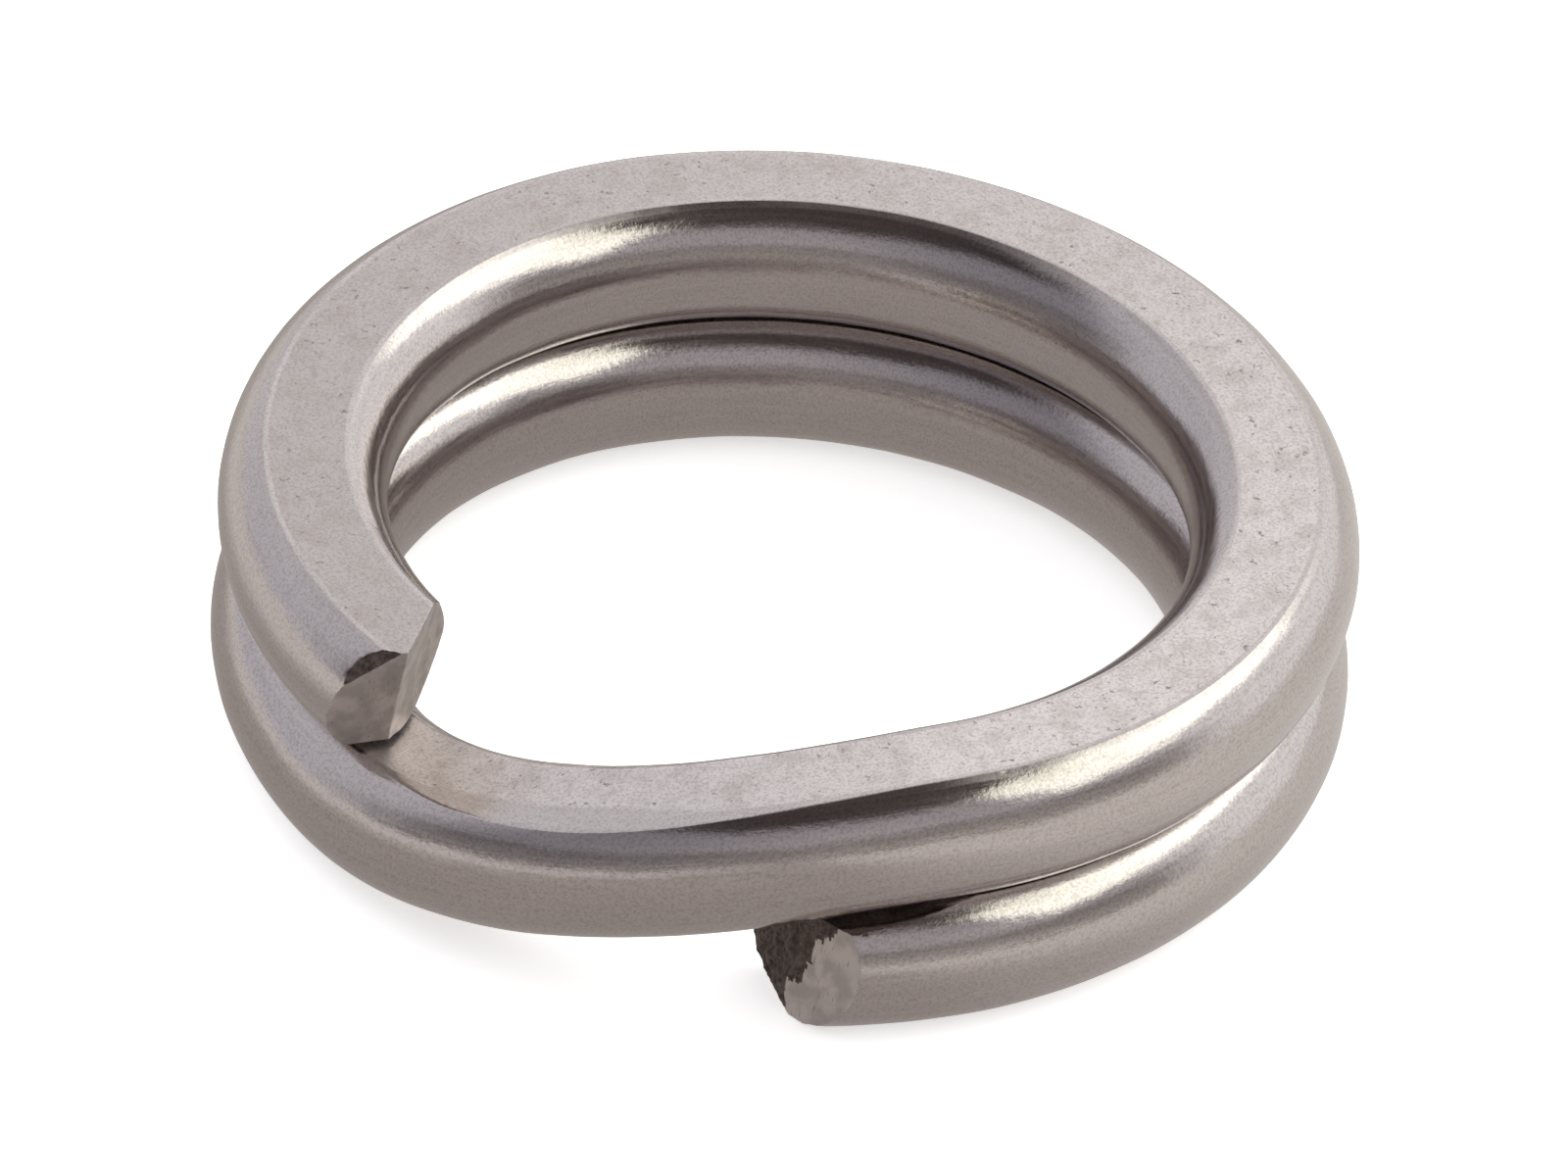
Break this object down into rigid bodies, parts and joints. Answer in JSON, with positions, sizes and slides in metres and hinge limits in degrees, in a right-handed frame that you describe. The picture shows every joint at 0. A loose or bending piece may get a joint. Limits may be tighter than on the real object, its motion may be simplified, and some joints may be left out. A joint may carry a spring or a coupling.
{
  "type": "split ring",
  "caption": "Small heavy-duty split ring of rolled spring wire, wound turn on turn, stepped by a crossover, with sheared ends that can be pried apart.",
  "frame": {"origin": "on the ring's axis, at the face the lower turn rests on", "axes": "+Z along the ring's axis, from the lower turn to the upper turn; the crossover faces -Y, and the wire winds counter-clockwise upwards, seen from +Z"},
  "size_m": [0.014, 0.014, 0.0037],
  "materials": {
    "spring_wire": "satin, rolled flats with drawn round sides"
  },
  "bodies": {
    "lower_end": {"lower_end": "spring_wire"},
    "lower_front_right": {"lower_front_right": "spring_wire"},
    "lower_right": {"lower_right": "spring_wire"},
    "lower_back_right": {"lower_back_right": "spring_wire"},
    "lower_back": {"lower_back": "spring_wire"},
    "lower_back_left": {"lower_back_left": "spring_wire"},
    "lower_left": {"lower_left": "spring_wire"},
    "lower_front_left": {"lower_front_left": "spring_wire"},
    "crossover": {"crossover": "spring_wire"},
    "upper_front_right": {"upper_front_right": "spring_wire"},
    "upper_right": {"upper_right": "spring_wire"},
    "upper_back_right": {"upper_back_right": "spring_wire"},
    "upper_back": {"upper_back": "spring_wire"},
    "upper_back_left": {"upper_back_left": "spring_wire"},
    "upper_left": {"upper_left": "spring_wire"},
    "upper_end": {"upper_end": "spring_wire"}
  },
  "joints": [
    {"name": "lower_front_right_twist", "type": "hinge", "parent": "lower_end", "child": "lower_front_right", "pos_m": [0.00372, -0.00531, 0.0018], "axis": [0.8192, 0.5736, 0], "range_deg": [0, 0.187]},
    {"name": "lower_right_twist", "type": "hinge", "parent": "lower_front_right", "child": "lower_right", "pos_m": [0.0062, -0.00189, 0.0018], "axis": [0.2924, 0.9563, 0], "range_deg": [0, 0.778]},
    {"name": "lower_back_right_twist", "type": "hinge", "parent": "lower_right", "child": "lower_back_right", "pos_m": [0.00605, 0.00232, 0.0018], "axis": [-0.3584, 0.9336, 0], "range_deg": [0, 1.53]},
    {"name": "lower_back_twist", "type": "hinge", "parent": "lower_back_right", "child": "lower_back", "pos_m": [0.00334, 0.00556, 0.0018], "axis": [-0.8572, 0.515, 0], "range_deg": [0, 2.12]},
    {"name": "lower_end_pry", "type": "hinge", "parent": "lower_back", "child": "lower_back_left", "pos_m": [-0.00079, 0.00643, 0.0018], "axis": [-0.9925, -0.1219, 0], "range_deg": [0, 2.3], "stiffness_Nm_per_rad": 11},
    {"name": "lower_left_twist", "type": "hinge", "parent": "lower_back_left", "child": "lower_left", "pos_m": [-0.00458, 0.00458, 0.0018], "axis": [-0.7071, -0.7071, 0], "range_deg": [0, 2]},
    {"name": "lower_front_left_twist", "type": "hinge", "parent": "lower_left", "child": "lower_front_left", "pos_m": [-0.00643, 0.00079, 0.0018], "axis": [-0.1219, -0.9925, 0], "range_deg": [0, 1.33]},
    {"name": "crossover_twist", "type": "hinge", "parent": "lower_front_left", "child": "crossover", "pos_m": [-0.00556, -0.00334, 0.0018], "axis": [0.515, -0.8572, 0], "range_deg": [0, 0.594]},
    {"name": "upper_front_right_twist", "type": "hinge", "parent": "crossover", "child": "upper_front_right", "pos_m": [0.00258, -0.00594, 0.00185], "axis": [0.9171, 0.3987, 0], "range_deg": [0, 0.841]},
    {"name": "upper_right_twist", "type": "hinge", "parent": "upper_front_right", "child": "upper_right", "pos_m": [0.00583, -0.00282, 0.00185], "axis": [0.4358, 0.9001, 0], "range_deg": [0, 1.7]},
    {"name": "upper_back_right_twist", "type": "hinge", "parent": "upper_right", "child": "upper_back_right", "pos_m": [0.00627, 0.00166, 0.00185], "axis": [-0.256, 0.9667, 0], "range_deg": [0, 2.33]},
    {"name": "upper_end_pry", "type": "hinge", "parent": "upper_back_right", "child": "upper_back", "pos_m": [0.00367, 0.00534, 0.00185], "axis": [-0.8241, 0.5664, 0], "range_deg": [0, 2.43], "stiffness_Nm_per_rad": 10},
    {"name": "upper_back_left_twist", "type": "hinge", "parent": "upper_back", "child": "upper_back_left", "pos_m": [-0.0007, 0.00644, 0.00185], "axis": [-0.9942, -0.1074, 0], "range_deg": [0, 1.95]},
    {"name": "upper_left_twist", "type": "hinge", "parent": "upper_back_left", "child": "upper_left", "pos_m": [-0.00473, 0.00443, 0.00185], "axis": [-0.6841, -0.7294, 0], "range_deg": [0, 1.13]},
    {"name": "upper_end_twist", "type": "hinge", "parent": "upper_left", "child": "upper_end", "pos_m": [-0.00647, 0.00028, 0.00185], "axis": [-0.0436, -0.999, 0], "range_deg": [0, 0.353]}
  ],
  "couplings": [
    {"joint": "lower_front_right_twist", "follows": "lower_end_pry", "ratio": 0.081},
    {"joint": "lower_right_twist", "follows": "lower_end_pry", "ratio": 0.338},
    {"joint": "lower_back_right_twist", "follows": "lower_end_pry", "ratio": 0.664},
    {"joint": "lower_back_twist", "follows": "lower_end_pry", "ratio": 0.921},
    {"joint": "lower_left_twist", "follows": "lower_end_pry", "ratio": 0.867},
    {"joint": "lower_front_left_twist", "follows": "lower_end_pry", "ratio": 0.579},
    {"joint": "crossover_twist", "follows": "lower_end_pry", "ratio": 0.258},
    {"joint": "upper_front_right_twist", "follows": "upper_end_pry", "ratio": 0.346},
    {"joint": "upper_right_twist", "follows": "upper_end_pry", "ratio": 0.698},
    {"joint": "upper_back_right_twist", "follows": "upper_end_pry", "ratio": 0.958},
    {"joint": "upper_back_left_twist", "follows": "upper_end_pry", "ratio": 0.804},
    {"joint": "upper_left_twist", "follows": "upper_end_pry", "ratio": 0.464},
    {"joint": "upper_end_twist", "follows": "upper_end_pry", "ratio": 0.145}
  ]
}
